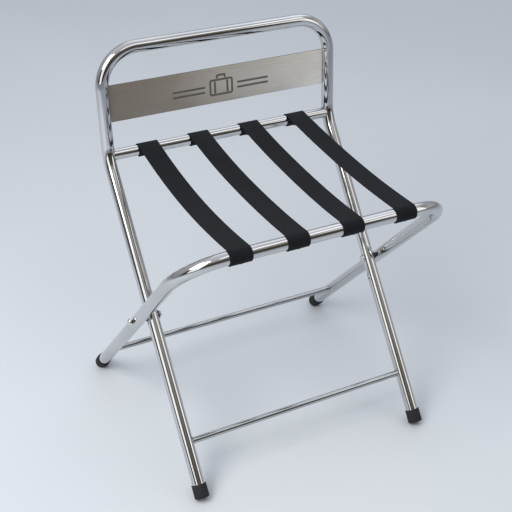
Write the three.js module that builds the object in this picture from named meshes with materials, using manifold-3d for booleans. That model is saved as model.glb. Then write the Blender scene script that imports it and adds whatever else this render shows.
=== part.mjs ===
// Folding luggage rack: two bent tube frames crossed on a pivot, four webbing straps and a back plate.
// Millimetres, +Z up, -Y is the front, X = 0 is the plane of symmetry.
import * as THREE from 'three';
import { mergeVertices } from 'three/addons/utils/BufferGeometryUtils.js';
import Module from 'manifold-3d';

const wasm = await Module();
wasm.setup();

// Driving dimensions. Y is counted from the front feet, Z from the floor.
const GAP = 0.3;
const TUBE_R = 11;
const TUBE_WALL = 1.5;
const BACK_HALF_WIDTH = 217.5;
const SEAT_HALF_WIDTH = 242.5;

const BACK_FOOT = { y: 0, z: 0 };
const BACK_BEND = { y: 382.5, z: 468.5 };
const BACK_TOP = { y: 404, z: 653.5 };
const BACK_BEND_R = 80;
const BACK_CORNER_R = 64;

const SEAT_RAIL = { y: 20.5, z: 464.5 };
const SEAT_FOOT = { y: 427, z: 0 };
const SEAT_CORNER_R = 80;

const CROSSBAR_R = 9.5;
const CROSSBAR_WALL = 1.2;
const CROSSBAR_Z = 474.5;

const PLATE_HEIGHT = 64;
const PLATE_THICK = 2;
const PLATE_CENTRE_Z = 563.5;

const ROD_R = 5.5;
const FRONT_ROD_Z = 80.5;
const REAR_ROD_Z = 85;

const FOOT_R = 13;
const FOOT_LENGTH = 24;
const FOOT_SOLE = 3;
const FOOT_FLAT = 2;
const FOOT_EDGE = 1;

const BOLT_R = 3;
const BOLT_HEAD_R = 6.5;
const BOLT_HEAD_H = 4;
const NUT_R = 6.7;
const NUT_H = 8.5;
const NUT_THREAD_DEPTH = 5;
const WASHER_R = 7.5;
const WASHER_THICK = 1;
const SPACER_R = 6.5;

const STRAP_COUNT = 4;
const STRAP_PITCH = 98;
const STRAP_WIDTH = 38;
const STRAP_THICK = 2;
const STRAP_SAG = 12;
const STRAP_REAR_TAIL = THREE.MathUtils.degToRad(104);
const STRAP_FRONT_TAIL = THREE.MathUtils.degToRad(28);

const RIVET_R = 1.6;
const RIVET_HEAD_R = 4.5;
const RIVET_HEAD_H = 1.8;
const RIVET_GRIP = 5;

const SIDES = { left: -1, right: 1 };

const chrome = { color: 0xc9ccd0, roughness: 0.08, metalness: 1 };
const brushed = { color: 0xa8a29a, roughness: 0.35, metalness: 1 };
const rubber = { color: 0x26282b, roughness: 0.85, metalness: 0 };
const plastic = { color: 0x1c1d1f, roughness: 0.55, metalness: 0 };
const webbing = { color: 0x23262b, roughness: 0.9, metalness: 0 };

const rack = new THREE.Group();

function addMesh(name, geometry, finish) {
  const mesh = new THREE.Mesh(geometry, new THREE.MeshStandardMaterial(finish));
  mesh.name = name;
  rack.add(mesh);
  return mesh;
}

// ---- solids -------------------------------------------------------------------------------

function toSolid(geometry) {
  const bare = geometry.clone();
  bare.deleteAttribute('normal');
  bare.deleteAttribute('uv');
  const merged = mergeVertices(bare, 1e-4);
  return new wasm.Manifold(new wasm.Mesh({
    numProp: 3,
    vertProperties: new Float32Array(merged.attributes.position.array),
    triVerts: new Uint32Array(merged.index.array),
  }));
}

function toGeometry(solid) {
  const mesh = solid.getMesh();
  const geometry = new THREE.BufferGeometry();
  geometry.setAttribute('position', new THREE.BufferAttribute(mesh.vertProperties, 3));
  geometry.setIndex(new THREE.BufferAttribute(mesh.triVerts, 1));
  return geometry;
}

function cut(geometry, cutters) {
  return toGeometry(cutters.reduce((solid, cutter) => solid.subtract(toSolid(cutter)), toSolid(geometry)));
}

// ---- paths and tubes ----------------------------------------------------------------------

// A route through corner points, with an arc of a given radius at each inner corner.
class BentPath extends THREE.Curve {
  constructor(corners, radii, arcSteps) {
    super();
    this.stations = [];
    this.directions = [];
    const last = corners.length - 1;
    this.addStation(corners[0], corners[1].clone().sub(corners[0]).normalize());
    for (let i = 1; i < last; i += 1) {
      this.addArc(corners[i - 1], corners[i], corners[i + 1], radii[i - 1], arcSteps);
    }
    this.addStation(corners[last], corners[last].clone().sub(corners[last - 1]).normalize());
  }

  addStation(point, direction) {
    this.stations.push(point.clone());
    this.directions.push(direction);
  }

  addArc(before, corner, after, radius, steps) {
    const inward = corner.clone().sub(before).normalize();
    const outward = after.clone().sub(corner).normalize();
    const turn = inward.angleTo(outward);
    const start = corner.clone().addScaledVector(inward, -radius * Math.tan(turn / 2));
    const normal = outward.clone().addScaledVector(inward, -inward.dot(outward)).normalize();
    for (let k = 0; k <= steps; k += 1) {
      const angle = (turn * k) / steps;
      const point = start.clone();
      point.addScaledVector(inward, radius * Math.sin(angle));
      point.addScaledVector(normal, radius * (1 - Math.cos(angle)));
      const direction = inward.clone().multiplyScalar(Math.cos(angle));
      direction.addScaledVector(normal, Math.sin(angle));
      this.addStation(point, direction.normalize());
    }
  }

  getPointAt(u, target = new THREE.Vector3()) {
    return target.copy(this.stations[Math.round(u * (this.stations.length - 1))]);
  }

  getTangentAt(u, target = new THREE.Vector3()) {
    return target.copy(this.directions[Math.round(u * (this.stations.length - 1))]);
  }
}

function discShape(outerR, innerR = 0) {
  const shape = new THREE.Shape().absarc(0, 0, outerR, 0, Math.PI * 2);
  if (innerR > 0) {
    shape.holes.push(new THREE.Path().absarc(0, 0, innerR, 0, Math.PI * 2, true));
  }
  return shape;
}

function tubeAlong(path, outerR, innerR = 0) {
  return new THREE.ExtrudeGeometry(discShape(outerR, innerR), {
    extrudePath: path,
    steps: path.stations.length - 1,
    curveSegments: 12,
    bevelEnabled: false,
  });
}

function straightPath(from, to) {
  return new BentPath([from, to], [], 1);
}

// A cylinder along X from one x to another, centred on (y, z).
function crossCylinder(radius, fromX, toX, at, sides = 24) {
  const geometry = new THREE.CylinderGeometry(radius, radius, Math.abs(toX - fromX), sides);
  geometry.rotateZ(Math.PI / 2);
  geometry.translate((fromX + toX) / 2, at.y, at.z);
  return geometry;
}

// A body of revolution around X. The profile lists [distance from the axis, distance along it].
function turnedAlongX(profile, side, x, at, sides = 20) {
  const geometry = new THREE.LatheGeometry(profile.map(([r, h]) => new THREE.Vector2(r, h)), sides);
  geometry.rotateZ((-side * Math.PI) / 2);
  geometry.translate(x, at.y, at.z);
  return geometry;
}

// Points of a quarter dome that rises from a rim of the given radius to the axis.
function domeProfile(radius, base, height, steps = 5) {
  const points = [];
  for (let k = 0; k <= steps; k += 1) {
    const angle = (Math.PI / 2) * (k / steps);
    const r = k === steps ? 0 : radius * Math.cos(angle);
    points.push([r, base + height * Math.sin(angle)]);
  }
  return points;
}

// ---- layout in the side view --------------------------------------------------------------

function alongLine(from, to, z) {
  const t = (z - from.z) / (to.z - from.z);
  return { y: from.y + (to.y - from.y) * t, z };
}

function crossing(a, b, c, d) {
  const u = { y: b.y - a.y, z: b.z - a.z };
  const v = { y: d.y - c.y, z: d.z - c.z };
  const t = ((c.y - a.y) * v.z - (c.z - a.z) * v.y) / (u.y * v.z - u.z * v.y);
  return { y: a.y + u.y * t, z: a.z + u.z * t };
}

// The rearward point at height z of the arc that rounds off the corner between two lines.
function onBend(before, corner, after, radius, z) {
  const u = new THREE.Vector2(before.y - corner.y, before.z - corner.z).normalize();
  const v = new THREE.Vector2(after.y - corner.y, after.z - corner.z).normalize();
  const half = Math.acos(u.dot(v)) / 2;
  const centre = new THREE.Vector2(corner.y, corner.z);
  centre.addScaledVector(u.add(v).normalize(), radius / Math.sin(half));
  return { y: centre.x + Math.sqrt(radius ** 2 - (z - centre.y) ** 2), z };
}

const PIVOT = crossing(BACK_FOOT, BACK_BEND, SEAT_FOOT, SEAT_RAIL);
const CROSSBAR = onBend(BACK_FOOT, BACK_BEND, BACK_TOP, BACK_BEND_R, CROSSBAR_Z);
const FRONT_ROD = alongLine(BACK_FOOT, BACK_BEND, FRONT_ROD_Z);
const REAR_ROD = alongLine(SEAT_FOOT, SEAT_RAIL, REAR_ROD_Z);
const BACK_LEAN = Math.atan2(BACK_TOP.y - BACK_BEND.y, BACK_TOP.z - BACK_BEND.z);

const at = (x, point) => new THREE.Vector3(x, point.y, point.z);

function legTilt(foot, upper) {
  return Math.atan2(Math.abs(upper.y - foot.y), upper.z - foot.z);
}

// How far up the leg the ferrule's square end lies, so that the floor trims FOOT_FLAT off its low edge.
function ferruleEndLift(tilt) {
  return (FOOT_R * Math.sin(tilt) - FOOT_FLAT) / Math.cos(tilt);
}

function tubeEnd(foot, upper) {
  const tilt = legTilt(foot, upper);
  const lift = ferruleEndLift(tilt) + FOOT_SOLE;
  const towards = Math.sign(upper.y - foot.y);
  return { y: foot.y + towards * lift * Math.sin(tilt), z: lift * Math.cos(tilt) };
}

function backFramePath() {
  const w = BACK_HALF_WIDTH;
  const end = tubeEnd(BACK_FOOT, BACK_BEND);
  const corners = [
    at(-w, end), at(-w, BACK_BEND), at(-w, BACK_TOP), at(w, BACK_TOP), at(w, BACK_BEND), at(w, end),
  ];
  return new BentPath(corners, [BACK_BEND_R, BACK_CORNER_R, BACK_CORNER_R, BACK_BEND_R], 8);
}

function seatFramePath() {
  const w = SEAT_HALF_WIDTH;
  const end = tubeEnd(SEAT_FOOT, SEAT_RAIL);
  const corners = [at(-w, end), at(-w, SEAT_RAIL), at(w, SEAT_RAIL), at(w, end)];
  return new BentPath(corners, [SEAT_CORNER_R, SEAT_CORNER_R], 10);
}

// ---- frames -------------------------------------------------------------------------------

function strapCentres() {
  return Array.from({ length: STRAP_COUNT }, (_, i) => (i - (STRAP_COUNT - 1) / 2) * STRAP_PITCH);
}

// Holes for the rivets that hold the straps, up through the underside of a rail.
function rivetHoles(rail, depth) {
  return strapCentres().map((x) => {
    const hole = new THREE.CylinderGeometry(RIVET_R + GAP, RIVET_R + GAP, depth, 12);
    hole.rotateX(Math.PI / 2);
    hole.translate(x, rail.y, rail.z - depth / 2);
    return hole;
  });
}

function pivotHole(halfWidth, side) {
  const reach = TUBE_R + 2;
  const centre = side * halfWidth;
  return crossCylinder(BOLT_R + GAP, centre - reach, centre + reach, PIVOT);
}

function addBackFrame(path) {
  const holes = Object.values(SIDES).map((side) => pivotHole(BACK_HALF_WIDTH, side));
  addMesh('back_frame_tube', cut(tubeAlong(path, TUBE_R, TUBE_R - TUBE_WALL), holes), chrome);
}

function addSeatFrame(path) {
  const holes = Object.values(SIDES).map((side) => pivotHole(SEAT_HALF_WIDTH, side));
  const drilled = holes.concat(rivetHoles(SEAT_RAIL, TUBE_R + 2));
  addMesh('seat_frame_tube', cut(tubeAlong(path, TUBE_R, TUBE_R - TUBE_WALL), drilled), chrome);
}

// A straight member between two legs, coped to fit round them.
function copedMember(halfWidth, centre, outerR, innerR, envelope, holes = []) {
  const path = straightPath(at(-halfWidth, centre), at(halfWidth, centre));
  return cut(tubeAlong(path, outerR, innerR), [envelope, ...holes]);
}

function addCrossbar(envelope) {
  const holes = rivetHoles(CROSSBAR, CROSSBAR_R + 2);
  const inner = CROSSBAR_R - CROSSBAR_WALL;
  addMesh('crossbar', copedMember(BACK_HALF_WIDTH, CROSSBAR, CROSSBAR_R, inner, envelope, holes), chrome);
}

function addStretchers(backEnvelope, seatEnvelope) {
  addMesh('front_stretcher', copedMember(BACK_HALF_WIDTH, FRONT_ROD, ROD_R, 0, backEnvelope), chrome);
  addMesh('rear_stretcher', copedMember(SEAT_HALF_WIDTH, REAR_ROD, ROD_R, 0, seatEnvelope), chrome);
}

function addBackPlate(envelope) {
  const centre = alongLine(BACK_BEND, BACK_TOP, PLATE_CENTRE_Z);
  const plate = new THREE.BoxGeometry(2 * BACK_HALF_WIDTH, PLATE_THICK, PLATE_HEIGHT);
  plate.rotateX(-BACK_LEAN);
  plate.translate(0, centre.y, centre.z);
  addMesh('back_plate', cut(plate, [envelope]), brushed);
}

// ---- feet ---------------------------------------------------------------------------------

// A rubber ferrule round the tube's end, with a small flat where its low edge stands on the floor.
function ferrule(foot, upper, x) {
  const tilt = legTilt(foot, upper);
  const end = ferruleEndLift(tilt);
  const floorOfSocket = end + FOOT_SOLE - GAP;
  const socketR = TUBE_R + GAP;
  const top = end + FOOT_LENGTH;
  const profile = [
    [0, end], [FOOT_R, end], [FOOT_R, top - FOOT_EDGE], [FOOT_R - FOOT_EDGE, top],
    [socketR, top], [socketR, floorOfSocket], [0, floorOfSocket],
  ];
  const body = new THREE.LatheGeometry(profile.map(([r, h]) => new THREE.Vector2(r, h)), 28);
  body.rotateX(Math.PI / 2);
  body.rotateX(-Math.sign(upper.y - foot.y) * tilt);
  body.translate(x, foot.y, foot.z);
  const floor = new THREE.BoxGeometry(100, 100, 60);
  floor.translate(x, foot.y, -30);
  return cut(body, [floor]);
}

function addFeet() {
  for (const [name, side] of Object.entries(SIDES)) {
    addMesh(`foot_front_${name}`, ferrule(BACK_FOOT, BACK_BEND, side * BACK_HALF_WIDTH), rubber);
    addMesh(`foot_rear_${name}`, ferrule(SEAT_FOOT, SEAT_RAIL, side * SEAT_HALF_WIDTH), rubber);
  }
}

// ---- pivots -------------------------------------------------------------------------------

function addPivot(name, side, backEnvelope) {
  const nutFace = SEAT_HALF_WIDTH + TUBE_R + GAP;
  const washerFace = BACK_HALF_WIDTH - TUBE_R - GAP;
  const headFace = washerFace - WASHER_THICK - GAP;
  const shankEnd = nutFace + NUT_THREAD_DEPTH - headFace;

  // The bolt's low dome head faces the middle of the rack, and its shank runs outward through both tubes.
  const boltProfile = [[0, shankEnd], [BOLT_R, shankEnd], [BOLT_R, 0], [BOLT_HEAD_R, 0]];
  boltProfile.push(...domeProfile(BOLT_HEAD_R, -1, 1 - BOLT_HEAD_H));
  boltProfile.reverse();
  addMesh(`pivot_bolt_${name}`, turnedAlongX(boltProfile, side, side * headFace, PIVOT), chrome);

  // The cap nut closes the bolt's outer end.
  const boreR = BOLT_R + GAP;
  const boreEnd = NUT_THREAD_DEPTH + GAP;
  const nutProfile = [[0, boreEnd], [boreR, boreEnd], [boreR, 0], [NUT_R, 0]];
  nutProfile.push(...domeProfile(NUT_R, 2.5, NUT_H - 2.5));
  addMesh(`pivot_nut_${name}`, turnedAlongX(nutProfile, side, side * nutFace, PIVOT), chrome);

  const washerProfile = [
    [boreR, -WASHER_THICK], [WASHER_R, -WASHER_THICK], [WASHER_R, 0], [boreR, 0], [boreR, -WASHER_THICK],
  ];
  const washer = turnedAlongX(washerProfile, side, side * washerFace, PIVOT);
  addMesh(`pivot_washer_${name}`, washer, chrome);

  // The spacer is saddled over the back frame's tube and flat towards the seat frame's.
  const spacerFace = SEAT_HALF_WIDTH - TUBE_R - GAP;
  const block = crossCylinder(SPACER_R, side * BACK_HALF_WIDTH, side * spacerFace, PIVOT, 28);
  const bore = crossCylinder(boreR, side * BACK_HALF_WIDTH, side * SEAT_HALF_WIDTH, PIVOT);
  addMesh(`pivot_spacer_${name}`, cut(block, [backEnvelope, bore]), plastic);
}

// ---- straps -------------------------------------------------------------------------------

function arcPoints(centre, radius, from, to, steps) {
  return Array.from({ length: steps + 1 }, (_, k) => {
    const angle = from + ((to - from) * k) / steps;
    return new THREE.Vector2(centre.y + radius * Math.cos(angle), centre.z + radius * Math.sin(angle));
  });
}

// Side view of one face of a strap: round the crossbar, down the sag and round the front rail.
function strapFace(offset) {
  const rearR = CROSSBAR_R + GAP + offset;
  const frontR = TUBE_R + GAP + offset;
  const run = CROSSBAR.y - SEAT_RAIL.y;
  const fall = (CROSSBAR.z + rearR - SEAT_RAIL.z - frontR) / run;
  const dip = (4 * STRAP_SAG) / run;
  const leave = Math.PI / 2 + Math.atan(fall + dip);
  const arrive = Math.PI / 2 + Math.atan(fall - dip);
  const rear = arcPoints(CROSSBAR, rearR, -Math.PI / 2 - STRAP_REAR_TAIL, leave, 24);
  const front = arcPoints(SEAT_RAIL, frontR, arrive, (3 * Math.PI) / 2 + STRAP_FRONT_TAIL, 16);
  const sag = [];
  const steps = 16;
  for (let k = 1; k < steps; k += 1) {
    const t = k / steps;
    const point = rear[rear.length - 1].clone().lerp(front[0], t);
    point.y -= 4 * STRAP_SAG * t * (1 - t);
    sag.push(point);
  }
  return [...rear, ...sag, ...front];
}

function strapGeometry(x) {
  const outline = [...strapFace(0), ...strapFace(STRAP_THICK).reverse()];
  const band = new THREE.ExtrudeGeometry(new THREE.Shape(outline), { depth: STRAP_WIDTH, bevelEnabled: false });
  band.applyMatrix4(new THREE.Matrix4().makeBasis(
    new THREE.Vector3(0, 1, 0), new THREE.Vector3(0, 0, 1), new THREE.Vector3(1, 0, 0)));
  band.translate(x - STRAP_WIDTH / 2, 0, 0);
  const holes = [CROSSBAR, SEAT_RAIL].map((rail) => {
    const reach = TUBE_R + STRAP_THICK + 3;
    const hole = new THREE.CylinderGeometry(RIVET_R + GAP, RIVET_R + GAP, reach, 12);
    hole.rotateX(Math.PI / 2);
    hole.translate(x, rail.y, rail.z - reach / 2);
    return hole;
  });
  return cut(band, holes);
}

// A round-headed rivet under the strap's end, its shank up through the strap and the tube's wall.
function rivetGeometry(x, rail, railR) {
  const seat = railR + GAP + STRAP_THICK + GAP;
  const profile = [
    [0, RIVET_GRIP], [RIVET_R, RIVET_GRIP], [RIVET_R, 0], [RIVET_HEAD_R, 0],
    ...domeProfile(RIVET_HEAD_R, 0, -RIVET_HEAD_H, 4).slice(1),
  ];
  profile.reverse();
  const rivet = new THREE.LatheGeometry(profile.map(([r, h]) => new THREE.Vector2(r, h)), 16);
  rivet.rotateX(Math.PI / 2);
  rivet.translate(x, rail.y, rail.z - seat);
  return rivet;
}

function addStraps() {
  strapCentres().forEach((x, i) => {
    addMesh(`strap_${i + 1}`, strapGeometry(x), webbing);
    addMesh(`strap_rivet_rear_${i + 1}`, rivetGeometry(x, CROSSBAR, CROSSBAR_R), chrome);
    addMesh(`strap_rivet_front_${i + 1}`, rivetGeometry(x, SEAT_RAIL, TUBE_R), chrome);
  });
}

// ---- assembly -----------------------------------------------------------------------------

const backPath = backFramePath();
const seatPath = seatFramePath();
const backEnvelope = tubeAlong(backPath, TUBE_R + GAP);
const seatEnvelope = tubeAlong(seatPath, TUBE_R + GAP);

addBackFrame(backPath);
addSeatFrame(seatPath);
addCrossbar(backEnvelope);
addBackPlate(backEnvelope);
addStretchers(backEnvelope, seatEnvelope);
addFeet();
for (const [name, side] of Object.entries(SIDES)) {
  addPivot(name, side, backEnvelope);
}
addStraps();

// The origin is on the floor, under the middle of the rack's box.
const box = new THREE.Box3().setFromObject(rack);
rack.position.y = -(box.min.y + box.max.y) / 2;

export default rack;
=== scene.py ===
import math

import bmesh
import bpy
import numpy as np
from mathutils import Matrix, Vector


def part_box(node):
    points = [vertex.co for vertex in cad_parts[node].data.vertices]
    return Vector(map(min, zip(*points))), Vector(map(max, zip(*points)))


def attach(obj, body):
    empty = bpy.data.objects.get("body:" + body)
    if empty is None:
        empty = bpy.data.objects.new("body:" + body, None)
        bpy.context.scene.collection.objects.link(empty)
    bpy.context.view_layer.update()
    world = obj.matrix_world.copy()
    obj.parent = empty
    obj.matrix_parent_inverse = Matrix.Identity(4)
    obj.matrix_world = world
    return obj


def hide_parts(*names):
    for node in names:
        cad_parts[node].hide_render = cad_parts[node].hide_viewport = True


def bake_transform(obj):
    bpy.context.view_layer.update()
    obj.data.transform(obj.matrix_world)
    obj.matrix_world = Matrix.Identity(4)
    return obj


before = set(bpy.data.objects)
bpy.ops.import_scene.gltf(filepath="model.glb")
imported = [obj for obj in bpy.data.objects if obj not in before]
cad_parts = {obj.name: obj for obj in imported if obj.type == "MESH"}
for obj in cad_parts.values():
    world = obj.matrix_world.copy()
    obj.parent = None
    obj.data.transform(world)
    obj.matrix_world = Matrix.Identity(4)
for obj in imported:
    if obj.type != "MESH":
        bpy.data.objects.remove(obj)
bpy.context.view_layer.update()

MM = 0.001

# ---- camera ---------------------------------------------------------------------------------

CAMERA_AT = (-0.734204, -1.325031, 1.285563)
CAMERA_AZIMUTH = math.radians(28.431)
CAMERA_ELEVATION = math.radians(32.803)
CAMERA_ROLL = math.radians(1.802)
CAMERA_LENS = 72.0075


def add_camera():
    az, el, roll = CAMERA_AZIMUTH, CAMERA_ELEVATION, CAMERA_ROLL
    look = Vector((math.sin(az) * math.cos(el), math.cos(az) * math.cos(el), -math.sin(el)))
    right = Vector((math.cos(az), -math.sin(az), 0))
    up = right.cross(look)
    right, up = (
        right * math.cos(roll) + up * math.sin(roll),
        up * math.cos(roll) - right * math.sin(roll),
    )
    data = bpy.data.cameras.new("camera")
    data.lens = CAMERA_LENS
    data.sensor_width = 36
    data.clip_start = 0.05
    data.clip_end = 200
    camera = bpy.data.objects.new("camera", data)
    axes = Matrix((right, up, -look)).transposed()
    camera.matrix_world = Matrix.Translation(Vector(CAMERA_AT)) @ axes.to_4x4()
    bpy.context.scene.collection.objects.link(camera)
    bpy.context.scene.camera = camera


add_camera()

# ---- driving dimensions, millimetres, Y from the front feet and Z from the floor --------------

TUBE_R = 11
BACK_HALF_WIDTH = 217.5
SEAT_HALF_WIDTH = 242.5
BACK_FOOT = (0, 0)
BACK_BEND = (382.5, 468.5)
BACK_TOP = (404, 653.5)
BACK_BEND_R = 80
BACK_CORNER_R = 64
SEAT_RAIL = (20.5, 464.5)
SEAT_FOOT = (427, 0)
SEAT_CORNER_R = 80
CROSSBAR_R = 9.5
ROD_R = 5.5
PLATE_HEIGHT = 64
PLATE_THICK = 2
FOOT_R = 13
FOOT_LENGTH = 24
FOOT_SOLE = 3
FOOT_FLAT = 2
WELD_R = 0.9
STRAP_WIDTH = 38
STRAP_THICK = 2
STRAP_REAR_TAIL = math.radians(104)
STRAP_FRONT_TAIL = math.radians(28)
GAP = 0.3
SIDES = (("left", -1), ("right", 1))


def centre_of(node):
    low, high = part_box(node)
    return (low + high) / 2


def along_line(start, end, z):
    return start[0] + (end[0] - start[0]) * (z - start[1]) / (end[1] - start[1])


# The front stretcher lies on the back frame's leg, which says how far the frame's Y is from the feet's.
rod = centre_of("front_stretcher")
SHIFT = along_line(BACK_FOOT, BACK_BEND, rod.z / MM) - rod.y / MM


def at(x, y, z):
    """A point of the driving dimensions' frame, as metres in the part's own frame."""
    return np.array((x, y - SHIFT, z)) * MM


def side_view(node):
    """Centre of a node in the side view, in the driving dimensions' frame."""
    c = centre_of(node)
    return c.y / MM + SHIFT, c.z / MM


CROSSBAR = side_view("crossbar")
FRONT_ROD = side_view("front_stretcher")
REAR_ROD = side_view("rear_stretcher")
PLATE = side_view("back_plate")
PIVOT = side_view("pivot_washer_left")
BACK_LEAN = math.atan2(BACK_TOP[0] - BACK_BEND[0], BACK_TOP[1] - BACK_BEND[1])
STRAP_XS = [centre_of(f"strap_{i}").x / MM for i in range(1, 5)]

# ---- mesh helpers ---------------------------------------------------------------------------


def make_object(name, mesh, materials, smooth_deg=35):
    mesh.name = name
    bm = bmesh.new()
    bm.from_mesh(mesh)
    bmesh.ops.recalc_face_normals(bm, faces=bm.faces)
    bm.to_mesh(mesh)
    bm.free()
    mesh.polygons.foreach_set("use_smooth", [True] * len(mesh.polygons))
    mesh.set_sharp_from_angle(angle=math.radians(smooth_deg))
    for material in materials:
        mesh.materials.append(material)
    obj = bpy.data.objects.new(name, mesh)
    bpy.context.scene.collection.objects.link(obj)
    return obj


class Builder:
    """Collects vertices, faces and UVs of one piece."""

    def __init__(self):
        self.verts, self.faces, self.uvs, self.slots = [], [], [], []

    def loft(self, rings, closed=False, across=None, along=None, slot=0):
        """Skin over rings of equally many points, capped at both ends, or joined end to end if closed.

        across and along are the UVs round a ring and from ring to ring.
        """
        rings = np.asarray(rings, float)
        m, n = rings.shape[:2]
        base = len(self.verts)
        self.verts += [tuple(p) for p in rings.reshape(-1, 3)]
        across = np.linspace(0, 1, n + 1) if across is None else across
        along = np.linspace(0, 1, m + 1) if along is None else along
        for i in range(m if closed else m - 1):
            for j in range(n):
                k, ii = (j + 1) % n, (i + 1) % m
                self.faces.append((base + i * n + j, base + i * n + k, base + ii * n + k, base + ii * n + j))
                self.uvs += [
                    (across[j], along[i]), (across[j + 1], along[i]),
                    (across[j + 1], along[i + 1]), (across[j], along[i + 1]),
                ]
                self.slots.append(slot)
        if not closed:
            for ring, v in ((0, along[0]), (m - 1, along[m - 1])):
                self.faces.append(tuple(base + ring * n + j for j in range(n)))
                self.uvs += [(across[j], v) for j in range(n)]
                self.slots.append(slot)

    def turn(self, profile, place, segments=48):
        """Body of revolution: profile lists (radius, height) in millimetres, place maps points to metres."""
        angles = np.linspace(0, 2 * math.pi, segments, endpoint=False)
        starts = []
        for index, (r, h) in enumerate(profile):
            if index and index == len(profile) - 1 and (r, h) == profile[0]:
                starts.append(starts[0])
                break
            starts.append(len(self.verts))
            if r < 1e-6:
                self.verts.append(tuple(place((0, 0, h))))
            else:
                self.verts += [tuple(place((r * math.cos(a), r * math.sin(a), h))) for a in angles]
        for i in range(len(profile) - 1):
            a, b = starts[i], starts[i + 1]
            pole_a, pole_b = profile[i][0] < 1e-6, profile[i + 1][0] < 1e-6
            if pole_a and pole_b:
                continue
            for j in range(segments):
                k = (j + 1) % segments
                if pole_a:
                    face = (a, b + k, b + j)
                elif pole_b:
                    face = (a + j, a + k, b)
                else:
                    face = (a + j, a + k, b + k, b + j)
                self.faces.append(face)
                self.uvs += [(0, 0)] * len(face)
                self.slots.append(0)

    def finish(self, name, materials, smooth_deg=35):
        mesh = bpy.data.meshes.new(name)
        mesh.from_pydata(self.verts, [], self.faces)
        layer = mesh.uv_layers.new(name="weave")
        layer.data.foreach_set("uv", np.array(self.uvs, np.float32).ravel())
        mesh.polygons.foreach_set("material_index", self.slots)
        return make_object(name, mesh, materials, smooth_deg)


def unit(v):
    return v / np.linalg.norm(v)


def bent_route(corners, radii, step_deg=3):
    """Points and directions along a route whose inner corners are rounded by arcs."""
    corners = [np.asarray(c, float) for c in corners]
    points, ways = [corners[0]], [unit(corners[1] - corners[0])]
    for before, corner, after, radius in zip(corners, corners[1:], corners[2:], radii):
        inward, outward = unit(corner - before), unit(after - corner)
        turn = math.acos(np.clip(inward @ outward, -1, 1))
        start = corner - inward * radius * math.tan(turn / 2)
        normal = unit(outward - inward * (inward @ outward))
        steps = max(4, math.ceil(math.degrees(turn) / step_deg))
        for k in range(steps + 1):
            a = turn * k / steps
            points.append(start + inward * radius * math.sin(a) + normal * radius * (1 - math.cos(a)))
            ways.append(inward * math.cos(a) + normal * math.sin(a))
    points.append(corners[-1])
    ways.append(unit(corners[-1] - corners[-2]))
    return np.array(points), np.array(ways)


def rings_along(points, ways, radius, sides):
    """Circles square to a route, each turned as little as possible from the one before."""
    helper = np.array((1, 0, 0)) if abs(ways[0][0]) < 0.9 else np.array((0, 1, 0))
    normal = unit(np.cross(ways[0], helper))
    angles = np.linspace(0, 2 * math.pi, sides, endpoint=False)
    radii = np.broadcast_to(radius, len(points))
    rings = []
    for point, way, r in zip(points, ways, radii):
        normal = unit(normal - way * (normal @ way))
        side = np.cross(way, normal)
        rings.append([point + (normal * math.cos(a) + side * math.sin(a)) * r for a in angles])
    return np.array(rings)


def bead(builder, loop, radius, slot, ripple=0.12, lumps=26, sides=10):
    """A weld bead along a closed loop of points, with the ripples a torch leaves."""
    loop = np.asarray(loop)
    ways = np.roll(loop, -1, 0) - np.roll(loop, 1, 0)
    ways /= np.linalg.norm(ways, axis=1)[:, None]
    phase = np.linspace(0, 2 * math.pi, len(loop), endpoint=False)
    radii = radius * (1 + ripple * np.sin(phase * lumps) + 0.5 * ripple * np.sin(phase * 5 + 1.3))
    builder.loft(rings_along(loop, ways, radii, sides), closed=True, slot=slot)


# ---- materials ------------------------------------------------------------------------------


# Half the width over which the plate's painted reflection runs from dark to light, the webbing's spacing
# across and along, and how high the dust on the rubber reaches.
PLATE_PAINTED_REFLECTION_HALF = 0.206
WARP_PITCH = 0.0016
WEFT_PITCH = 0.0021
DUST_HEIGHT = 0.009


def set_stops(ramp, stops):
    """Gives a colour ramp node its (position, colour) stops."""
    elements = ramp.color_ramp.elements
    while len(elements) < len(stops):
        elements.new(1.0)
    for element, (position, colour) in zip(elements, stops):
        element.position = position
        element.color = (*colour, 1)


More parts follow.
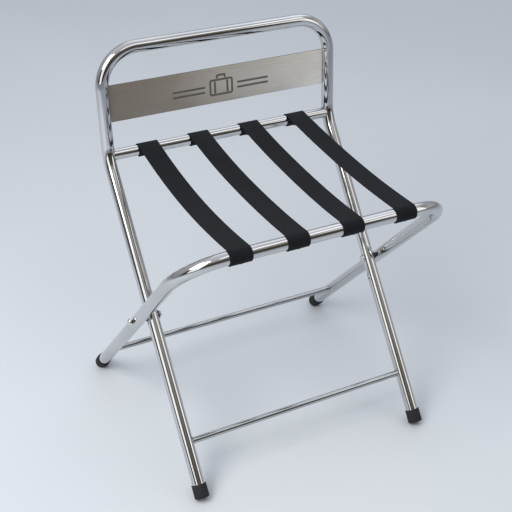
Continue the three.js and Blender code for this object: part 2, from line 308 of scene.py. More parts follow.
class Nodes:
    """A short way to write a node tree: each call adds one node and links its inputs."""

    def __init__(self, name):
        self.material = bpy.data.materials.new(name)
        self.material.use_nodes = True
        self.tree = self.material.node_tree
        self.tree.nodes.clear()
        self.output = self.tree.nodes.new("ShaderNodeOutputMaterial")
        self.coords = self.tree.nodes.new("ShaderNodeTexCoord")

    def add(self, kind, inputs=None, **settings):
        node = self.tree.nodes.new(kind)
        for key, value in settings.items():
            setattr(node, key, value)
        for key, value in (inputs or {}).items():
            socket = node.inputs[key]
            if isinstance(value, bpy.types.NodeSocket):
                self.tree.links.new(value, socket)
            else:
                socket.default_value = value
        return node

    def math(self, operation, a, b=0.0):
        return self.add("ShaderNodeMath", {0: a, 1: b}, operation=operation).outputs[0]

    def noise(self, scale, detail=3.0, stretch=None, roughness=0.5):
        vector = self.coords.outputs["Object"]
        if stretch:
            vector = self.add("ShaderNodeMapping", {"Vector": vector, "Scale": stretch}).outputs[0]
        inputs = {"Vector": vector, "Scale": scale, "Detail": detail, "Roughness": roughness}
        return self.add("ShaderNodeTexNoise", inputs).outputs["Fac"]

    def ramp(self, value, stops):
        node = self.add("ShaderNodeValToRGB", {"Fac": value})
        set_stops(node, stops)
        return node.outputs["Color"]

    def span(self, value, low, high, from_low, from_high):
        """Maps from_low..from_high of value to low..high."""
        inputs = {"Value": value, "From Min": from_low, "From Max": from_high, "To Min": low, "To Max": high}
        return self.add("ShaderNodeMapRange", inputs).outputs[0]

    def bump(self, height, distance, strength, normal=None):
        inputs = {"Height": height, "Distance": distance, "Strength": strength}
        if normal is not None:
            inputs["Normal"] = normal
        return self.add("ShaderNodeBump", inputs).outputs[0]

    def surface(self, **inputs):
        named = {key.replace("_", " "): value for key, value in inputs.items()}
        shader = self.add("ShaderNodeBsdfPrincipled", named)
        self.tree.links.new(shader.outputs[0], self.output.inputs["Surface"])
        return self.material


def grey(v):
    return (v, v, v)


def chrome(name, tint=(0.62, 0.62, 0.63), low=0.03, high=0.10, waviness=0.000012):
    """Bright plated steel: a faint orange peel, fine polishing lines and cloudier patches."""
    n = Nodes(name)
    clouds = n.noise(9.0, 4.0)
    lines = n.noise(420.0, 2.0, (1.0, 1.0, 0.25))
    mixed = n.math("ADD", n.math("MULTIPLY", clouds, 0.75), n.math("MULTIPLY", lines, 0.25))
    rough = n.span(mixed, low, high, 0.3, 0.72)
    dull = tuple(c * 0.86 for c in tint)
    colour = n.ramp(clouds, [(0.3, dull), (0.62, tint)])
    peel = n.bump(n.noise(190.0, 2.0), waviness, 1.0)
    normal = n.bump(lines, 0.000006, 0.6, peel)
    return n.surface(Base_Color=colour, Metallic=1.0, Roughness=rough, Normal=normal)


def brushed_steel():
    """Horizontal brushing, and a painted reflection: darker and warmer to the left end, lighter to the right.
    """
    n = Nodes("brushed_steel")
    grain = n.noise(60.0, 6.0, (0.35, 14.0, 14.0), 0.62)
    fine = n.noise(260.0, 3.0, (0.25, 12.0, 12.0), 0.7)
    both = n.math("ADD", n.math("MULTIPLY", grain, 0.55), n.math("MULTIPLY", fine, 0.45))
    # Painted reflection in the base colour: dark and warm at the plate's left end, light at its right.
    x = n.add("ShaderNodeSeparateXYZ", {"Vector": n.coords.outputs["Object"]}).outputs[0]
    along = n.span(x, 0.0, 1.0, -PLATE_PAINTED_REFLECTION_HALF, PLATE_PAINTED_REFLECTION_HALF)
    cloud = n.noise(5.0, 3.0, (1.0, 1.0, 2.0))
    along = n.math("ADD", along, n.span(cloud, -0.12, 0.12, 0.3, 0.7))
    wide = n.ramp(along, [
        (0.0, (0.40, 0.35, 0.30)), (0.3, (0.50, 0.45, 0.395)),
        (0.6, (0.80, 0.75, 0.69)), (1.0, (1.0, 0.96, 0.91)),
    ])
    shade = n.span(both, 0.82, 1.08, 0.3, 0.7)
    colour = n.add("ShaderNodeVectorMath", {0: wide}, operation="SCALE")
    n.tree.links.new(shade, colour.inputs["Scale"])
    rough = n.span(both, 0.44, 0.58, 0.3, 0.7)
    normal = n.bump(both, 0.00005, 0.5)
    return n.surface(Base_Color=colour.outputs[0], Metallic=1.0, Roughness=rough, Normal=normal)


def rubber():
    """Black rubber with a fine grain, dustier towards the floor."""
    n = Nodes("rubber")
    grain = n.noise(650.0, 3.0)
    clouds = n.noise(45.0, 4.0)
    z = n.add("ShaderNodeSeparateXYZ", {"Vector": n.coords.outputs["Object"]}).outputs[2]
    dust = n.math("MULTIPLY", n.span(z, 1.0, 0.0, 0.0, DUST_HEIGHT), clouds)
    colour = n.ramp(n.math("ADD", n.math("MULTIPLY", clouds, 0.35), dust), [
        (0.0, (0.005, 0.0056, 0.0072)), (0.35, (0.012, 0.0136, 0.0175)), (1.0, (0.058, 0.058, 0.060)),
    ])
    rough = n.span(clouds, 0.55, 0.78, 0.3, 0.7)
    return n.surface(
        Base_Color=colour, Roughness=rough, Normal=n.bump(grain, 0.00008, 0.8), Specular_IOR_Level=0.45,
    )


def plastic():
    n = Nodes("moulded_plastic")
    grain = n.noise(900.0, 2.0)
    clouds = n.noise(60.0, 3.0)
    colour = n.ramp(clouds, [(0.3, grey(0.012)), (0.7, grey(0.024))])
    rough = n.span(clouds, 0.34, 0.52, 0.3, 0.7)
    return n.surface(Base_Color=colour, Roughness=rough, Normal=n.bump(grain, 0.00004, 0.7))


def webbing():
    """Woven band: columns of warp bundles, each crossed by weft half a step off its neighbour."""
    n = Nodes("webbing")
    split = n.add("ShaderNodeSeparateXYZ", {"Vector": n.coords.outputs["UV"]})
    u, v = split.outputs[0], split.outputs[1]
    column = n.math("MULTIPLY", u, 1 / WARP_PITCH)
    row = n.math("MULTIPLY", v, 1 / WEFT_PITCH)
    offset = n.math("MULTIPLY", n.math("FLOOR", column), 0.5)
    rib = n.math("ABSOLUTE", n.math("SINE", n.math("MULTIPLY", column, math.pi)))
    cross = n.math("ABSOLUTE", n.math("SINE", n.math("MULTIPLY", n.math("ADD", row, offset), math.pi)))
    weave = n.math("MULTIPLY", n.math("POWER", rib, 0.6), n.math("POWER", cross, 0.5))
    fluff = n.noise(1500.0, 3.0)
    clouds = n.noise(30.0, 4.0)
    height = n.math("ADD", weave, n.math("MULTIPLY", fluff, 0.35))
    tone = n.math("ADD", n.math("MULTIPLY", weave, 0.45), n.math("MULTIPLY", clouds, 0.55))
    colour = n.ramp(tone, [
        (0.15, (0.0012, 0.0015, 0.0024)), (0.5, (0.0036, 0.0050, 0.0084)), (1.0, (0.022, 0.0255, 0.034)),
    ])
    rough = n.span(clouds, 0.72, 0.9, 0.3, 0.7)
    return n.surface(
        Base_Color=colour, Roughness=rough, Normal=n.bump(height, 0.00035, 0.8),
        Sheen_Weight=0.03, Sheen_Roughness=0.5, Specular_IOR_Level=0.16,
    )


CHROME = chrome("chrome")
ROD_CHROME = chrome("rod_chrome", (0.45, 0.46, 0.475), 0.05, 0.13)
WELD = chrome("plated_weld", (0.40, 0.39, 0.37), 0.16, 0.32, 0.00008)
FASTENER = chrome("plated_fastener", (0.72, 0.72, 0.72), 0.07, 0.16, 0.00003)
BRUSHED = brushed_steel()
ENGRAVED = chrome("engraved_steel", (0.24, 0.22, 0.20), 0.35, 0.5, 0.00005)
RUBBER = rubber()
PLASTIC = plastic()
WEBBING = webbing()

# ---- frames ---------------------------------------------------------------------------------


# How far a bar's core reaches past its coped edge, into the leg.
COPE_DEPTH = 0.8


def leg_tilt(foot, upper):
    return math.atan2(abs(upper[0] - foot[0]), upper[1] - foot[1])


def ferrule_lift(tilt):
    """From the floor, along the leg, to the ferrule's end. Its low edge dips FOOT_FLAT below the floor."""
    return (FOOT_R * math.sin(tilt) - FOOT_FLAT) / math.cos(tilt)


def tube_end(foot, upper):
    """Side view of the tube's lower end, on the ferrule's sole."""
    tilt = leg_tilt(foot, upper)
    lift = ferrule_lift(tilt) + FOOT_SOLE
    towards = math.copysign(1, upper[0] - foot[0])
    return foot[0] + towards * lift * math.sin(tilt), lift * math.cos(tilt)


def back_route():
    w, end = BACK_HALF_WIDTH, tube_end(BACK_FOOT, BACK_BEND)
    corners = [
        at(-w, *end), at(-w, *BACK_BEND), at(-w, *BACK_TOP), at(w, *BACK_TOP), at(w, *BACK_BEND), at(w, *end),
    ]
    radii = [r * MM for r in (BACK_BEND_R, BACK_CORNER_R, BACK_CORNER_R, BACK_BEND_R)]
    return bent_route(corners, radii)


def seat_route():
    w, end = SEAT_HALF_WIDTH, tube_end(SEAT_FOOT, SEAT_RAIL)
    corners = [at(-w, *end), at(-w, *SEAT_RAIL), at(w, *SEAT_RAIL), at(w, *end)]
    return bent_route(corners, [SEAT_CORNER_R * MM] * 2)


def placed(obj, body, slot, *nodes):
    """Rides an object on its body and hides the CAD nodes that it replaces; slot is not used."""
    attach(obj, body)
    if nodes:
        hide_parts(*nodes)


def tube_object(name, route, body, node):
    points, ways = route
    lengths = np.concatenate([[0], np.cumsum(np.linalg.norm(np.diff(points, axis=0), axis=1))])
    builder = Builder()
    sides = 56
    builder.loft(
        rings_along(points, ways, TUBE_R * MM, sides),
        across=np.linspace(0, 2 * math.pi * TUBE_R * MM, sides + 1), along=np.append(lengths, lengths[-1]),
    )
    placed(builder.finish(name, [CHROME]), body, "metal_tube", node)


BACK_ROUTE = back_route()
SEAT_ROUTE = seat_route()
tube_object("back_frame_chrome", BACK_ROUTE, "back_frame", "back_frame_tube")
tube_object("seat_frame_chrome", SEAT_ROUTE, "seat_frame", "seat_frame_tube")


def distance_to_route(point, route, side_x):
    """How far a point of the side view is from the leg at side_x, in metres."""
    points = route[0][np.abs(route[0][:, 0] - side_x) < 1e-6][:, 1:]
    best = 1.0
    for a, b in zip(points, points[1:]):
        t = np.clip(((point - a) @ (b - a)) / ((b - a) @ (b - a)), 0, 1)
        best = min(best, np.linalg.norm(a + (b - a) * t - point))
    return best


def cross_member(node, body, route, half_width, centre, radius, finish):
    """A bar between two legs, coped round them and welded."""
    sides = 48
    middle = at(0, *centre)
    edge = []
    for a in np.linspace(0, 2 * math.pi, sides, endpoint=False):
        y, z = middle[1] + radius * MM * math.cos(a), middle[2] + radius * MM * math.sin(a)
        d = distance_to_route(np.array((y, z)), route, half_width * MM)
        x = half_width * MM - math.sqrt(max((TUBE_R * MM) ** 2 - d * d, 0))
        edge.append((x, y, z))
    edge = np.array(edge)
    mirrored = edge * (-1, 1, 1)
    builder = Builder()
    inside = edge + (COPE_DEPTH * MM, 0, 0)
    inside_mirrored = mirrored - (COPE_DEPTH * MM, 0, 0)
    builder.loft([inside_mirrored, inside])
    for loop in (edge, mirrored):
        bead(builder, loop, WELD_R * MM, 1)
    placed(builder.finish(f"{node}_chrome", [finish, WELD]), body, "metal_tube", node)


BACK_LEGS = ("back_frame", BACK_ROUTE, BACK_HALF_WIDTH)
SEAT_LEGS = ("seat_frame", SEAT_ROUTE, SEAT_HALF_WIDTH)
cross_member("crossbar", *BACK_LEGS, CROSSBAR, CROSSBAR_R, CHROME)
cross_member("front_stretcher", *BACK_LEGS, FRONT_ROD, ROD_R, ROD_CHROME)
cross_member("rear_stretcher", *SEAT_LEGS, REAR_ROD, ROD_R, ROD_CHROME)

# ---- back plate -----------------------------------------------------------------------------

# How far the plate's ends reach into the uprights.
PLATE_OVERLAP = 0.35
PLATE_EDGE_R = 0.45
PLATE_WELD_R = 0.75

# The engraved sign, from the middle of the plate's face.
ENGRAVING_DEPTH = 0.5
STROKE = 3.7
CASE_WIDTH, CASE_HEIGHT, CASE_CORNER_R = 46, 30, 5
CASE_Z = -4
CASE_BAR_X, CASE_BAR_HEIGHT, CASE_BAR_CORNER_R = 12, 21.4, 0.5
HANDLE_HALF, HANDLE_HEIGHT, HANDLE_CORNER_R = 9.5, 7.6, 3.2
HANDLE_BASE = 11.6
LINE_X, LINE_LENGTH, LINE_CORNER_R = 62, 62, 1.6
LINE_HEIGHTS = (-10, -1)


def fillet(cx, cz, radius, first, last, steps=5):
    """Points of a rounded corner in a profile, by angle in degrees."""
    turns = np.radians(np.linspace(first, last, steps + 1))
    return [(cx + radius * math.cos(a), cz + radius * math.sin(a)) for a in turns]


def rounded_loop(cx, cz, width, height, radius, steps=6):
    """Outline of a rectangle with rounded corners, anticlockwise."""
    points = []
    for qx, qz, first in ((1, 1, 0), (-1, 1, 90), (-1, -1, 180), (1, -1, 270)):
        for k in range(steps + 1):
            a = math.radians(first + 90 * k / steps)
            x = cx + qx * (width / 2 - radius) + radius * math.cos(a)
            z = cz + qz * (height / 2 - radius) + radius * math.sin(a)
            points.append((x, z))
    return points


def prism(bm, loops, y0, y1):
    """A prism of one outline, or of a band between two outlines of equally many points."""
    stations = [(loops[0], y0), (loops[0], y1)]
    if len(loops) == 2:
        stations += [(loops[1], y1), (loops[1], y0)]
    rows = [[bm.verts.new((x * MM, y * MM, z * MM)) for x, z in loop] for loop, y in stations]
    count = len(loops[0])
    pairs = list(zip(rows, rows[1:]))
    if len(loops) == 2:
        pairs.append((rows[-1], rows[0]))
    else:
        bm.faces.new(rows[0])
        bm.faces.new(rows[1][::-1])
    for a, b in pairs:
        for i in range(count):
            k = (i + 1) % count
            bm.faces.new((a[i], a[k], b[k], b[i]))


def band(bm, cx, cz, width, height, radius, y0, y1):
    """A rounded rectangle's outline, one stroke wide."""
    outer = rounded_loop(cx, cz, width, height, radius)
    inner = rounded_loop(cx, cz, width - 2 * STROKE, height - 2 * STROKE, max(radius - STROKE, 0.4))
    prism(bm, [outer, inner], y0, y1)


def handle_outline(half, low, high, radius, steps=6):
    """An upside-down U from z = low, that reaches high above it, one stroke wide."""
    outer = fillet(half - radius, low + high - radius, radius, 0, 90, steps)
    outer += fillet(radius - half, low + high - radius, radius, 90, 180, steps)
    bend = 0.6
    half, high = half - STROKE, high - STROKE
    inner = fillet(bend - half, low + high - bend, bend, 180, 90, steps)
    inner += fillet(half - bend, low + high - bend, bend, 90, 0, steps)
    return [(half + STROKE, low)] + outer + [(-half - STROKE, low), (-half, low)] + inner + [(half, low)]


def engraving():
    """Cutter for a plain suitcase sign between two pairs of lines."""
    bm = bmesh.new()
    y0, y1 = -PLATE_THICK / 2 - 1, -PLATE_THICK / 2 + ENGRAVING_DEPTH
    band(bm, 0, CASE_Z, CASE_WIDTH, CASE_HEIGHT, CASE_CORNER_R, y0, y1)
    prism(bm, [handle_outline(HANDLE_HALF, HANDLE_BASE, HANDLE_HEIGHT, HANDLE_CORNER_R)], y0, y1)
    for x in (-CASE_BAR_X, CASE_BAR_X):
        prism(bm, [rounded_loop(x, CASE_Z, STROKE, CASE_BAR_HEIGHT, CASE_BAR_CORNER_R)], y0, y1)
    for side in (-1, 1):
        for z in LINE_HEIGHTS:
            prism(bm, [rounded_loop(side * LINE_X, z, LINE_LENGTH, STROKE, LINE_CORNER_R)], y0, y1)
    bmesh.ops.recalc_face_normals(bm, faces=bm.faces)
    mesh = bpy.data.meshes.new("cutter")
    bm.to_mesh(mesh)
    bm.free()
    cutter = bpy.data.objects.new("cutter", mesh)
    bpy.context.scene.collection.objects.link(cutter)
    return cutter


def back_plate():
    """The engraved plate: its recesses and its long edges take the darker metal."""
    half = BACK_HALF_WIDTH - TUBE_R + PLATE_OVERLAP
    bm = bmesh.new()
    bmesh.ops.create_cube(bm, size=1)
    bmesh.ops.scale(bm, vec=(2 * half * MM, PLATE_THICK * MM, PLATE_HEIGHT * MM), verts=bm.verts)
    edges = [e for e in bm.edges if abs(e.verts[0].co.x - e.verts[1].co.x) > 0.1]
    bmesh.ops.bevel(bm, geom=edges, offset=PLATE_EDGE_R * MM, segments=3, profile=0.5, affect="EDGES")
    mesh = bpy.data.meshes.new("plate")
    bm.to_mesh(mesh)
    bm.free()
    blank = bpy.data.objects.new("plate_blank", mesh)
    bpy.context.scene.collection.objects.link(blank)
    cutter = engraving()
    modifier = blank.modifiers.new("engrave", "BOOLEAN")
    modifier.operation = "DIFFERENCE"
    modifier.solver = "EXACT"
    modifier.object = cutter
    bpy.context.view_layer.update()
    cut = bpy.data.meshes.new_from_object(blank.evaluated_get(bpy.context.evaluated_depsgraph_get()))
    for spare in (blank, cutter):
        bpy.data.objects.remove(spare)
    cut.materials.clear()
    # Behind the front face by no more than the engraving, and clear of the plate's edges, is the recess.
    face = -PLATE_THICK / 2 * MM
    recess = [
        int(face + 0.00002 < p.center.y < face + 0.0006 and abs(p.center.x) < 0.1 and abs(p.center.z) < 0.025)
        for p in cut.polygons
    ]
    # The long edges, top and bottom, take the darker metal as well.
    edge = (PLATE_HEIGHT / 2 - 0.4) * MM
    long_edges = [int(abs(p.center.z) > edge) for p in cut.polygons]
    cut.polygons.foreach_set("material_index", [max(pair) for pair in zip(recess, long_edges)])
    centre = at(0, *PLATE)
    cut.transform(Matrix.Translation(Vector(centre)) @ Matrix.Rotation(-BACK_LEAN, 4, "X"))
    plate = make_object("back_plate_brushed", cut, [BRUSHED, ENGRAVED], 25)
    placed(plate, "back_frame", "brushed_plate", "back_plate")


back_plate()


def plate_welds():
    """Thin plated seams where the plate's ends meet the uprights."""
    builder = Builder()
    up = np.array((0, math.sin(BACK_LEAN), math.cos(BACK_LEAN)))
    out = np.array((0, -math.cos(BACK_LEAN), math.sin(BACK_LEAN)))
    for side in (-1, 1):
        for face in (-1, 1):
            count = 60
            base = at(side * (BACK_HALF_WIDTH - TUBE_R + 0.1), *PLATE) + out * face * PLATE_THICK / 2 * MM
            heights = np.linspace(-PLATE_HEIGHT / 2 + 1, PLATE_HEIGHT / 2 - 1, count) * MM
            points = [base + up * h for h in heights]
            radii = PLATE_WELD_R * MM * (1 + 0.14 * np.sin(np.arange(count) * 1.9))
            radii[[0, -1]] *= 0.4
            builder.loft(rings_along(np.array(points), np.array([up] * count), radii, 10))
    placed(builder.finish("back_plate_welds", [WELD]), "back_frame", "metal_tube")


plate_welds()

# ---- feet -----------------------------------------------------------------------------------


# Rounding of a ferrule's sole and mouth, its socket, and the studs' rows, count, depth and steps.
SOLE_R = 2.2
MOUTH_R = 0.9
SOCKET_R = TUBE_R + 0.12
STUD_ROWS = 7
STUDS_ROUND = 30
STUD_DEPTH = 0.55
STUD_STEPS = 6


def foot(node, foot_at, upper, x, body):
    """A rubber ferrule with rows of fine grip studs below its smooth mouth."""
    tilt = leg_tilt(foot_at, upper)
    end = ferrule_lift(tilt)
    top = end + FOOT_LENGTH
    profile = [(0, end), (FOOT_R - SOLE_R - 3, end)]
    profile += fillet(FOOT_R - SOLE_R, end + SOLE_R, SOLE_R, -90, 0)
    low, high = end + SOLE_R + 0.4, top - 2.6
    profile += [(FOOT_R, h) for h in np.linspace(low, high, STUD_ROWS * STUD_STEPS + 1)]
    profile += fillet(FOOT_R - MOUTH_R, top - MOUTH_R, MOUTH_R, 0, 90)
    profile += [(SOCKET_R + 0.35, top), (SOCKET_R, top - 0.4), (SOCKET_R, end + FOOT_SOLE)]
    profile += [(0, end + FOOT_SOLE)]
    lean = -math.copysign(1, upper[0] - foot_at[0]) * tilt
    turn = Matrix.Rotation(lean, 3, "X")
    origin = at(x, *foot_at)

    def place(p):
        """Sinks the side between the studs, leans the ferrule along its leg and trims it at the floor."""
        px, py, h = p
        r = math.hypot(px, py)
        if r > FOOT_R - 0.02 and low <= h <= high:
            row = (h - low) / (high - low) * STUD_ROWS
            around = abs(math.sin((math.atan2(py, px) * STUDS_ROUND + math.pi * (int(row) % 2)) / 2))
            scale = 1 - STUD_DEPTH / FOOT_R * (1 - around ** 0.7 * abs(math.sin(math.pi * row)) ** 0.7)
            px, py = px * scale, py * scale
        q = np.array(turn @ Vector((px, py, h))) * MM + origin
        q[2] = max(q[2], 0.0)
        return q

    builder = Builder()
    builder.turn(profile, place, STUDS_ROUND * STUD_STEPS)
    placed(builder.finish(node + "_rubber", [RUBBER], 50), body, "rubber_feet", node)


for name, side in SIDES:
    foot(f"foot_front_{name}", BACK_FOOT, BACK_BEND, side * BACK_HALF_WIDTH, "back_frame")
    foot(f"foot_rear_{name}", SEAT_FOOT, SEAT_RAIL, side * SEAT_HALF_WIDTH, "seat_frame")

# ---- pivots ---------------------------------------------------------------------------------

BOLT_R, HEAD_R, HEAD_H = 3, 6.5, 4
BOLT_IN_NUT = 4
NUT_R, NUT_H = 6.7, 8.5
WASHER_R, WASHER_THICK = 7.5, 1
SPACER_R = 6.5


def dome(radius, base, height, steps=9):
    """Quarter of an ellipse in a profile, from the rim at base up to the axis."""
    turns = np.linspace(0, math.pi / 2, steps + 1)
    points = [(radius * math.cos(a), base + height * math.sin(a)) for a in turns]
    points[-1] = (0, base + height)
    return points


def outward(side, x):
    """Maps a body turned about its own Z to the pivot's axis, its Z pointing away from the rack's middle."""
    origin = at(x, *PIVOT)
    return lambda p: origin + np.array((side * p[2], p[0], side * p[1])) * MM


def hexagonal(point, from_r):
    """Pulls the points of a turned body that lie beyond from_r in to a hexagon with its corners at NUT_R."""
    x, y, h = point
    r = math.hypot(x, y)
    if r <= from_r:
        return point
    sector = math.radians(60)
    turn = math.atan2(y, x) % sector - sector / 2
    flat = NUT_R * math.cos(sector / 2) / math.cos(turn)
    scale = min(r, flat) / r
    return x * scale, y * scale, h


def place_fastener(builder, node, body):
    """Finishes a plated piece of hardware in place of its CAD node."""
    placed(builder.finish(f"{node}_plated", [FASTENER]), body, "fastener", node)


def pivot(name, side):
    """Bolt, cap nut, washer and spacer of one pivot."""
    nut_face = SEAT_HALF_WIDTH + TUBE_R
    washer_face = BACK_HALF_WIDTH - TUBE_R - GAP
    head_face = washer_face - WASHER_THICK - GAP

    bolt = Builder()
    shank = nut_face + BOLT_IN_NUT - head_face
    profile = [(r, -h) for r, h in reversed(dome(HEAD_R - 0.3, 1.0, HEAD_H - 1.0))]
    profile += [(HEAD_R, -0.7), (HEAD_R, 0), (HEAD_R - 0.4, 0.3), (BOLT_R, 0.3), (BOLT_R, shank), (0, shank)]
    bolt.turn(profile, outward(side, side * head_face))
    place_fastener(bolt, f"pivot_bolt_{name}", "back_frame")

    nut = Builder()
    cap_r = NUT_R * math.cos(math.radians(30)) - 0.25
    profile = [(0, 0.05), (cap_r, 0.05), (NUT_R, 0.5), (NUT_R, 3.3), (NUT_R - 0.55, 3.75), (cap_r, 3.85)]
    profile += [(cap_r - 0.15, 4.0)] + dome(cap_r - 0.25, 4.6, NUT_H + GAP - 4.6)
    to_pivot = outward(side, side * nut_face)
    nut.turn(profile, lambda p: to_pivot(hexagonal(p, cap_r + 0.05)), 72)
    place_fastener(nut, f"pivot_nut_{name}", "back_frame")

    washer = Builder()
    edge = 0.25
    low, high = -WASHER_THICK, 0.25
    profile = [(BOLT_R + 0.1, low), (WASHER_R - edge, low), (WASHER_R, low + edge), (WASHER_R, high - edge)]
    profile += [(WASHER_R - edge, high), (BOLT_R + 0.1, high), (BOLT_R + 0.1, low)]
    washer.turn(profile, outward(side, side * washer_face))
    place_fastener(washer, f"pivot_washer_{name}", "back_frame")

    spacer(name, side)


def spacer(name, side):
    """Moulded block, saddled over the back frame's tube and flat against the seat frame's."""
    count = 64
    face = (SEAT_HALF_WIDTH - TUBE_R - 0.05) * MM
    route_x = BACK_HALF_WIDTH * MM
    angles = np.linspace(0, 2 * math.pi, count, endpoint=False)
    centre = at(0, *PIVOT)

    def ring(radius, x=None, lift=0.0):
        """A ring round the pivot's axis at x, or on the back frame's tube when x is None."""
        points = []
        for a in angles:
            y, z = centre[1] + radius * MM * math.cos(a), centre[2] + radius * MM * math.sin(a)
            if x is None:
                d = distance_to_route(np.array((y, z)), BACK_ROUTE, route_x)
                reach = route_x + math.sqrt(max((TUBE_R * MM) ** 2 - d * d, 0)) + lift * MM
                points.append((side * reach, y, z))
            else:
                points.append((side * x, y, z))
        return points

    r = SPACER_R
    rings = [ring(r - 2.5, lift=-0.4), ring(r - 0.4, lift=0.05), ring(r, lift=0.5)]
    rings += [ring(r, face - 1.0 * MM), ring(r - 0.3, face - 0.35 * MM)]
    rings += [ring(r - 0.9, face), ring(r - 4, face)]
    builder = Builder()
    builder.loft(rings)
    node = f"pivot_spacer_{name}"
    placed(builder.finish(f"{node}_moulded", [PLASTIC]), "back_frame", "pivot_plastic", node)


for name, side in SIDES:
    pivot(name, side)

# ---- straps ---------------------------------------------------------------------------------

STRAP_SAGS = (15, 12, 10, 8)
STRAP_REAR_DX = (0.4, -0.4, 1.5, -1.0)
STRAP_FRONT_DX = (-3.7, -3.4, -4.0, -4.0)
# Gap to the tubes, how much the band dishes across, and how far its middle wanders sideways.
STRAP_CLEARANCE = 0.12
STRAP_CUP = 0.9
STRAP_WANDER = 0.35
RIVET_R = 4.5


def arc(centre, radius, first, last, steps):
    turns = np.linspace(first, last, steps + 1)
    return [(centre[0] + radius * math.cos(a), centre[1] + radius * math.sin(a)) for a in turns]


def strap_line(offset, sag):
    """Side view of a strap's middle layer: round the crossbar, down the sag and round the front rail."""
    rear_r, front_r = CROSSBAR_R + offset, TUBE_R + offset
    run = CROSSBAR[0] - SEAT_RAIL[0]
    fall = (CROSSBAR[1] + rear_r - SEAT_RAIL[1] - front_r) / run
    dip = 4 * sag / run
    rear = arc(CROSSBAR, rear_r, -math.pi / 2 - STRAP_REAR_TAIL, math.pi / 2 + math.atan(fall + dip), 44)
    front = arc(SEAT_RAIL, front_r, math.pi / 2 + math.atan(fall - dip), 1.5 * math.pi + STRAP_FRONT_TAIL, 34)
    steps = 48
    a, b = np.array(rear[-1]), np.array(front[0])
    middle = []
    for k in range(1, steps):
        t = k / steps
        middle.append(a + (b - a) * t - np.array((0, 4 * sag * t * (1 - t))))
    return np.array(rear + middle + front)


def strap_section(width, thick, flat_steps=26, edge_steps=5):
    """Cross-section (across, up) of the band: flat faces, soft edges and a slight ridge at each selvedge."""
    half, r = width / 2, thick / 2
    top = []
    for x in np.linspace(-half + r, half - r, flat_steps):
        near = half - r - abs(x)
        ridge = 0.16 * math.exp(-((near - 1.2) / 1.0) ** 2) - 0.12 * math.exp(-((near - 3.4) / 0.8) ** 2)
        top.append((x, r + ridge - 0.1))
    right = [(half - r + (r - 0.1) * math.sin(a), (r - 0.1) * math.cos(a))
             for a in np.linspace(0, math.pi, edge_steps + 2)[1:-1]]
    bottom = [(x, -z) for x, z in reversed(top)]
    left = [(-x, -z) for x, z in right]
    return top + right + bottom + left


def strap(index):
    """One band, laid along its side view with a slight skew, wander and cup."""
    x0 = STRAP_XS[index]
    sag = STRAP_SAGS[index]
    line = strap_line(STRAP_CLEARANCE + STRAP_THICK / 2, sag)
    ways = np.gradient(line, axis=0)
    ways /= np.linalg.norm(ways, axis=1)[:, None]
    lengths = np.concatenate([[0], np.cumsum(np.linalg.norm(np.diff(line, axis=0), axis=1))])
    section = strap_section(STRAP_WIDTH, STRAP_THICK)
    loop = [0.0]
    for (xa, za), (xb, zb) in zip(section, section[1:] + section[:1]):
        loop.append(loop[-1] + math.hypot(xb - xa, zb - za))
    rings = []
    total = lengths[-1]
    for (y, z), (dy, dz), s in zip(line, ways, lengths):
        t = np.clip((CROSSBAR[0] - y) / (CROSSBAR[0] - SEAT_RAIL[0]), 0, 1)
        x = x0 + STRAP_REAR_DX[index] * (1 - t) + STRAP_FRONT_DX[index] * t
        x += STRAP_WANDER * math.sin(s / total * 9.0 + index * 1.7)
        cup = STRAP_CUP * math.sin(math.pi * t) ** 2
        up = np.array((dz, -dy))
        ring = []
        for across, height in section:
            lift = height + cup * ((across / (STRAP_WIDTH / 2)) ** 2 - 0.35)
            ring.append(at(x + across, y + up[0] * lift, z + up[1] * lift))
        rings.append(ring)
    builder = Builder()
    builder.loft(rings, across=np.array(loop) * MM, along=np.append(lengths, total) * MM)
    obj = builder.finish(f"strap_{index + 1}_webbing", [WEBBING], 60)
    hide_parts(f"strap_{index + 1}")
    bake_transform(obj)


def rivet(node, x, rail, rail_r, body):
    """A round-headed rivet with a thin rim, up through the strap under a rail."""
    seat = rail_r + GAP + STRAP_THICK
    origin = at(x, rail[0], rail[1] - seat)
    builder = Builder()
    profile = [(0, 3.5), (1.6, 3.5), (1.6, 0.1), (RIVET_R - 0.2, 0.1), (RIVET_R, -0.15)]
    profile += [(RIVET_R - 0.1, -0.5)] + [(r, -h) for r, h in dome(RIVET_R - 0.3, 0.6, 1.4)]
    builder.turn(profile, lambda p: origin + np.array(p) * MM, 36)
    place_fastener(builder, node, body)


for i, strap_x in enumerate(STRAP_XS):
    strap(i)
    rivet(f"strap_rivet_rear_{i + 1}", strap_x, CROSSBAR, CROSSBAR_R, "back_frame")
    rivet(f"strap_rivet_front_{i + 1}", strap_x, SEAT_RAIL, TUBE_R, "seat_frame")

# ---- floor and light ------------------------------------------------------------------------


FLOOR_HALF = 40.0


def add_floor():
    """A plain pale floor with a faint drift in its tone and a fine grain."""
    n = Nodes("floor")
    clouds = n.noise(0.9, 2.0)
    fine = n.noise(300.0, 2.0)
    colour = n.ramp(clouds, [(0.3, (0.58, 0.625, 0.685)), (0.7, (0.62, 0.665, 0.715))])
    material = n.surface(
        Base_Color=colour, Roughness=0.62, Specular_IOR_Level=0.25, Normal=n.bump(fine, 0.00003, 0.4),
    )
    corners = [(x * FLOOR_HALF, y * FLOOR_HALF, 0) for x, y in ((-1, -1), (1, -1), (1, 1), (-1, 1))]
    mesh = bpy.data.meshes.new("floor")
    mesh.from_pydata(corners, [], [(0, 1, 2, 3)])
    mesh.materials.append(material)
    floor = bpy.data.objects.new("floor", mesh)
    bpy.context.scene.collection.objects.link(floor)


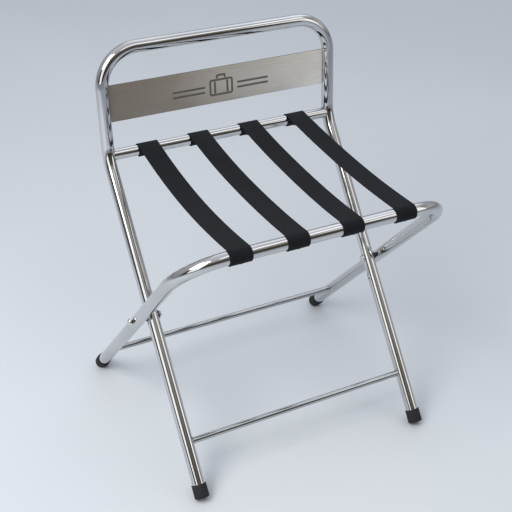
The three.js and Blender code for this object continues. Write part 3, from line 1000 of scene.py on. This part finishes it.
def add_area(name, location, target, size, power, colour=(1, 1, 1)):
    data = bpy.data.lights.new(name, "AREA")
    data.shape = "RECTANGLE"
    data.size, data.size_y = size
    data.energy = power
    data.color = colour
    light = bpy.data.objects.new(name, data)
    way = (Vector(target) - Vector(location)).normalized()
    turn = way.to_track_quat("-Z", "Y").to_matrix().to_4x4()
    light.matrix_world = Matrix.Translation(Vector(location)) @ turn
    bpy.context.scene.collection.objects.link(light)


# Colours of the studio's walls by the Z of the direction: 0 at the horizon and below it, 1 straight up.
FRONT_WALL = [
    (0.0, (0.034, 0.028, 0.019)), (0.18, (0.075, 0.065, 0.046)), (0.50, (0.125, 0.112, 0.085)),
    (0.60, (0.34, 0.33, 0.30)), (0.80, (0.56, 0.57, 0.58)), (1.0, (0.70, 0.72, 0.75)),
]
RIGHT_WALL = [
    (0.0, (0.16, 0.145, 0.12)), (0.10, (0.36, 0.34, 0.31)), (0.30, (0.62, 0.60, 0.57)),
    (0.60, (0.32, 0.305, 0.275)), (0.80, (0.56, 0.57, 0.58)), (1.0, (0.70, 0.72, 0.75)),
]
BACK_WALL = [
    (0.0, (0.27, 0.275, 0.30)), (0.12, (0.40, 0.41, 0.45)), (0.5, (0.48, 0.49, 0.53)),
    (0.75, (0.70, 0.72, 0.76)), (1.0, (0.85, 0.87, 0.90)),
]
# Where the right wall takes over along X, and the back wall along Y, of the direction.
RIGHT_WALL_X = (0.48, 0.72)
BACK_WALL_Y = (-0.12, 0.25)


def wall(tree, height, stops):
    """One wall's colour, by the height of the direction."""
    ramp = tree.nodes.new("ShaderNodeValToRGB")
    tree.links.new(height, ramp.inputs[0])
    set_stops(ramp, stops)
    return ramp.outputs[0]


def turn_to(tree, coordinate, limits, near, far):
    """Blends from near, below the limits of one coordinate of the direction, to far above them."""
    share = tree.nodes.new("ShaderNodeMapRange")
    share.interpolation_type = "SMOOTHSTEP"
    share.inputs["From Min"].default_value = limits[0]
    share.inputs["From Max"].default_value = limits[1]
    tree.links.new(coordinate, share.inputs["Value"])
    mix = tree.nodes.new("ShaderNodeMixRGB")
    tree.links.new(share.outputs[0], mix.inputs[0])
    tree.links.new(near, mix.inputs[1])
    tree.links.new(far, mix.inputs[2])
    return mix.outputs[0]


def add_world():
    """A dim studio: olive dark in front, mid tones to the right, pale behind, and a bright ceiling."""
    world = bpy.data.worlds.new("studio")
    bpy.context.scene.world = world
    world.use_nodes = True
    tree = world.node_tree
    tree.nodes.clear()
    coords = tree.nodes.new("ShaderNodeTexCoord")
    split = tree.nodes.new("ShaderNodeSeparateXYZ")
    tree.links.new(coords.outputs["Generated"], split.inputs[0])
    x, y, z = split.outputs
    colour = wall(tree, z, FRONT_WALL)
    colour = turn_to(tree, x, RIGHT_WALL_X, colour, wall(tree, z, RIGHT_WALL))
    colour = turn_to(tree, y, BACK_WALL_Y, colour, wall(tree, z, BACK_WALL))
    background = tree.nodes.new("ShaderNodeBackground")
    output = tree.nodes.new("ShaderNodeOutputWorld")
    tree.links.new(colour, background.inputs[0])
    tree.links.new(background.outputs[0], output.inputs[0])


add_floor()
add_world()
# A warm key from the left, a narrow strip above, a cool fill from behind, and a panel at either side.
add_area("key", (-1.95, -0.55, 2.3), (-0.4, 0, 0.2), (1.6, 1.5), 56, (1.0, 0.955, 0.895))
add_area("top", (0.55, -0.98, 2.45), (0, 0, 0.35), (2.2, 0.55), 4.2)
add_area("back", (1.2, 1.9, 2.5), (0.3, 0.7, 0), (2.6, 2.0), 10, (0.88, 0.935, 1.0))
add_area("left_strip", (-1.93, -1.24, 1.28), (-0.2, -0.05, 0.3), (1.25, 1.6), 9.0)
add_area("right_strip", (1.55, -1.50, 1.38), (0, -0.05, 0.3), (0.85, 1.5), 4.2)
bpy.context.scene.view_settings.view_transform = "Standard"
